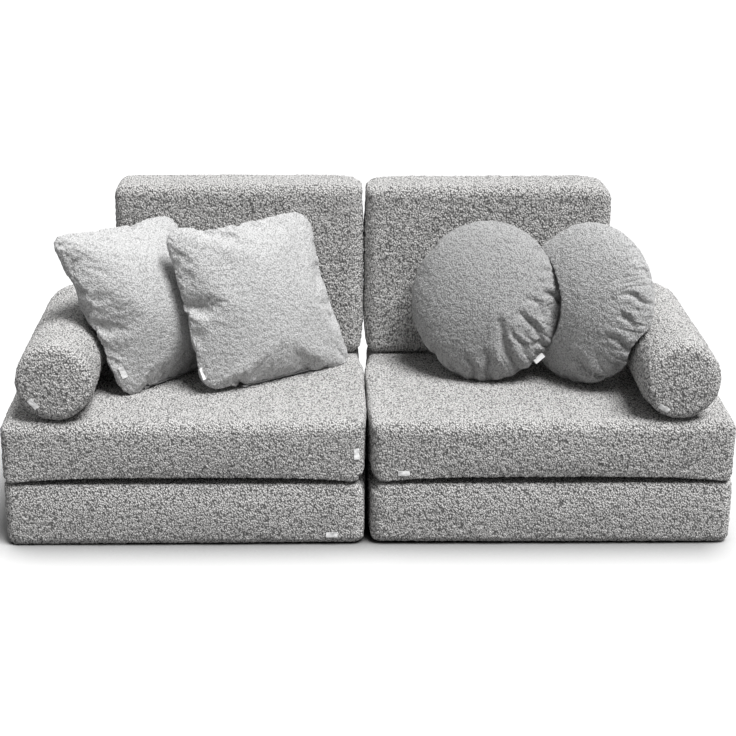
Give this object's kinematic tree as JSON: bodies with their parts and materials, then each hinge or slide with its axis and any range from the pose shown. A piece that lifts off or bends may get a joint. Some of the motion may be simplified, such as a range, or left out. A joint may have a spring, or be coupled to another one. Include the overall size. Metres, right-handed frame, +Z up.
{
  "type": "children's sofa",
  "caption": "Modular children's sofa of boucle-covered foam: folding seat slabs side by side, with backrest blocks, round bolster arms and loose square and round throw pillows.",
  "frame": {"origin": "middle of the sofa's footprint, on the floor", "axes": "+X runs to the sitter's left-hand side, which is the right of the picture, +Y to the back behind the backrests, +Z up"},
  "size_m": [1.608, 0.555, 0.7086],
  "materials": {
    "boucle": "looped light-grey boucle",
    "foam": "open-cell upholstery foam",
    "fibre_filling": "polyester fibre in a white inner",
    "zip_tape": "woven tape with coil teeth",
    "zip_slider": "small metal safety slider without a pull",
    "fold_strip": "plain grey woven strip",
    "woven_tag": "bare white woven label"
  },
  "bodies": {
    "left_base": {"left_base_cover": "boucle", "left_base_core": "foam", "left_base_zip": "zip_tape", "left_base_tag": "woven_tag", "left_fold_lower_leaf": "fold_strip"},
    "left_base_zip_slider": {"left_base_slider": "zip_slider"},
    "left_seat": {"left_seat_cover": "boucle", "left_seat_core": "foam", "left_seat_zip": "zip_tape", "left_seat_tag": "woven_tag", "left_fold_upper_leaf": "fold_strip"},
    "left_seat_zip_slider": {"left_seat_slider": "zip_slider"},
    "left_backrest": {"left_backrest_cover": "boucle", "left_backrest_core": "foam", "left_backrest_zip": "zip_tape"},
    "left_backrest_zip_slider": {"left_backrest_slider": "zip_slider"},
    "left_bolster": {"left_bolster_cover": "boucle", "left_bolster_core": "foam", "left_bolster_zip": "zip_tape", "left_bolster_tag": "woven_tag"},
    "left_bolster_zip_slider": {"left_bolster_slider": "zip_slider"},
    "left_corner_pillow": {"left_corner_pillow_cover": "boucle", "left_corner_pillow_core": "fibre_filling", "left_corner_pillow_zip": "zip_tape", "left_corner_pillow_tag": "woven_tag"},
    "left_corner_pillow_zip_slider": {"left_corner_pillow_slider": "zip_slider"},
    "left_front_pillow": {"left_front_pillow_cover": "boucle", "left_front_pillow_core": "fibre_filling", "left_front_pillow_zip": "zip_tape", "left_front_pillow_tag": "woven_tag"},
    "left_front_pillow_zip_slider": {"left_front_pillow_slider": "zip_slider"},
    "right_base": {"right_base_cover": "boucle", "right_base_core": "foam", "right_base_zip": "zip_tape", "right_fold_lower_leaf": "fold_strip"},
    "right_base_zip_slider": {"right_base_slider": "zip_slider"},
    "right_seat": {"right_seat_cover": "boucle", "right_seat_core": "foam", "right_seat_zip": "zip_tape", "right_seat_tag": "woven_tag", "right_fold_upper_leaf": "fold_strip"},
    "right_seat_zip_slider": {"right_seat_slider": "zip_slider"},
    "right_backrest": {"right_backrest_cover": "boucle", "right_backrest_core": "foam", "right_backrest_zip": "zip_tape"},
    "right_backrest_zip_slider": {"right_backrest_slider": "zip_slider"},
    "right_bolster": {"right_bolster_cover": "boucle", "right_bolster_core": "foam", "right_bolster_zip": "zip_tape", "right_bolster_tag": "woven_tag"},
    "right_bolster_zip_slider": {"right_bolster_slider": "zip_slider"},
    "right_corner_pillow": {"right_corner_pillow_cover": "boucle", "right_corner_pillow_core": "fibre_filling", "right_corner_pillow_zip": "zip_tape"},
    "right_corner_pillow_zip_slider": {"right_corner_pillow_slider": "zip_slider"},
    "right_front_pillow": {"right_front_pillow_cover": "boucle", "right_front_pillow_core": "fibre_filling", "right_front_pillow_zip": "zip_tape", "right_front_pillow_tag": "woven_tag"},
    "right_front_pillow_zip_slider": {"right_front_pillow_slider": "zip_slider"}
  },
  "joints": [
    {"name": "backrest_left_lift", "type": "slide", "parent": "left_seat", "child": "left_backrest", "axis": [0, 0, 1], "range_m": [0, 0.45]},
    {"name": "bolster_left_lift", "type": "slide", "parent": "left_seat", "child": "left_bolster", "axis": [-0.9659, 0, 0.259], "range_m": [0, 0.35]},
    {"name": "fold_left", "type": "hinge", "parent": "left_base", "child": "left_seat", "pos_m": [-0.404, 0.2778, 0.14665], "axis": [-1, 0, 0], "range_deg": [0, 180]},
    {"name": "pillow_left_corner_lift", "type": "slide", "parent": "left_seat", "child": "left_corner_pillow", "axis": [0, 0, 1], "range_m": [0, 0.45]},
    {"name": "pillow_left_front_lift", "type": "slide", "parent": "left_seat", "child": "left_front_pillow", "axis": [0, 0, 1], "range_m": [0, 0.45]},
    {"name": "backrest_right_lift", "type": "slide", "parent": "right_seat", "child": "right_backrest", "axis": [0, 0, 1], "range_m": [0, 0.45]},
    {"name": "bolster_right_lift", "type": "slide", "parent": "right_seat", "child": "right_bolster", "axis": [0.9659, 0, 0.259], "range_m": [0, 0.35]},
    {"name": "fold_right", "type": "hinge", "parent": "right_base", "child": "right_seat", "pos_m": [0.404, 0.2778, 0.14665], "axis": [-1, 0, 0], "range_deg": [0, 180]},
    {"name": "pillow_right_corner_lift", "type": "slide", "parent": "right_seat", "child": "right_corner_pillow", "axis": [0, 0, 1], "range_m": [0, 0.45]},
    {"name": "pillow_right_front_lift", "type": "slide", "parent": "right_seat", "child": "right_front_pillow", "axis": [0, 0, 1], "range_m": [0, 0.45]},
    {"name": "module_gap", "type": "slide", "parent": "left_base", "child": "right_base", "axis": [1, 0, 0], "range_m": [0, 0.4]},
    {"name": "zip_left_base", "type": "slide", "parent": "left_base", "child": "left_base_zip_slider", "axis": [-1, 0, 0], "range_m": [0, 0.54]},
    {"name": "zip_left_seat", "type": "slide", "parent": "left_seat", "child": "left_seat_zip_slider", "axis": [-1, 0, 0], "range_m": [0, 0.54]},
    {"name": "zip_left_backrest", "type": "slide", "parent": "left_backrest", "child": "left_backrest_zip_slider", "axis": [-1, 0, 0], "range_m": [0, 0.405]},
    {"name": "zip_left_bolster", "type": "slide", "parent": "left_bolster", "child": "left_bolster_zip_slider", "axis": [0, -1, 0], "range_m": [0, 0.285]},
    {"name": "zip_left_corner_pillow", "type": "slide", "parent": "left_corner_pillow", "child": "left_corner_pillow_zip_slider", "axis": [0.682, 0.7314, 0], "range_m": [0, 0.185]},
    {"name": "zip_left_front_pillow", "type": "slide", "parent": "left_front_pillow", "child": "left_front_pillow_zip_slider", "axis": [0.829, 0.5592, 0], "range_m": [0, 0.185]},
    {"name": "zip_right_base", "type": "slide", "parent": "right_base", "child": "right_base_zip_slider", "axis": [-1, 0, 0], "range_m": [0, 0.54]},
    {"name": "zip_right_seat", "type": "slide", "parent": "right_seat", "child": "right_seat_zip_slider", "axis": [-1, 0, 0], "range_m": [0, 0.54]},
    {"name": "zip_right_backrest", "type": "slide", "parent": "right_backrest", "child": "right_backrest_zip_slider", "axis": [-1, 0, 0], "range_m": [0, 0.405]},
    {"name": "zip_right_bolster", "type": "slide", "parent": "right_bolster", "child": "right_bolster_zip_slider", "axis": [0, -1, 0], "range_m": [0, 0.285]},
    {"name": "zip_right_corner_pillow", "type": "slide", "parent": "right_corner_pillow", "child": "right_corner_pillow_zip_slider", "axis": [0.6428, -0.766, 0], "range_m": [0, 0.075]},
    {"name": "zip_right_front_pillow", "type": "slide", "parent": "right_front_pillow", "child": "right_front_pillow_zip_slider", "axis": [0.9613, -0.2756, 0], "range_m": [0, 0.075]}
  ]
}
